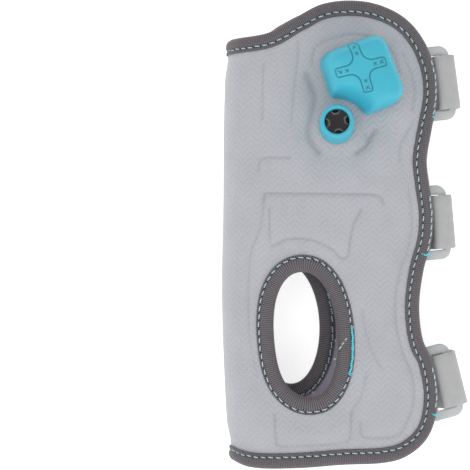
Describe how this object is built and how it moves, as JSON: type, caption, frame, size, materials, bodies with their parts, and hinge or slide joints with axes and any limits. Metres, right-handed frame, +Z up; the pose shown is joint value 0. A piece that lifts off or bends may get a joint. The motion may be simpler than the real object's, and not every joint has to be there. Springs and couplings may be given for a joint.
{
  "type": "inflatable wrist splint",
  "caption": "Padded inflatable wrist splint, a flat sleeve with bound edges, thumb holes, strap loops along its open edge, a pump bulb and a release valve.",
  "frame": {"origin": "middle of the underside: the middle of the bounding box in X and Y, on the surface that the splint lies on", "axes": "+X from the fold to the open edge with the rings, +Y from the hand end to the forearm end, +Z up through the front panel"},
  "size_m": [0.1194, 0.223, 0.0538],
  "materials": {
    "padded_knit": "light grey brushed knit",
    "lining_cloth": "smooth mauve-grey cloth with small white dots",
    "binding_tape": "dark grey ribbed grosgrain tape",
    "pump_rubber": "satin turquoise",
    "button_plastic": "matt black",
    "ring_plastic": "frosted and slightly see-through",
    "strap_webbing": "light grey flat webbing"
  },
  "bodies": {
    "splint": {"wrap": "padded_knit", "lining": "lining_cloth", "edge_binding": "binding_tape", "front_thumb_binding": "binding_tape", "back_thumb_binding": "binding_tape", "pump_bulb": "pump_rubber", "valve_collar": "pump_rubber", "forearm_ring": "ring_plastic", "wrist_ring": "ring_plastic", "hand_ring": "ring_plastic", "forearm_strap": "strap_webbing", "wrist_strap": "strap_webbing", "hand_strap": "strap_webbing"},
    "button": {"release_button": "button_plastic"}
  },
  "joints": [
    {"name": "button_press", "type": "slide", "parent": "splint", "child": "button", "axis": [-0.0563, 0.0868, 0.9946], "range_m": [-0.002, 0], "stiffness_N_per_m": 300}
  ]
}
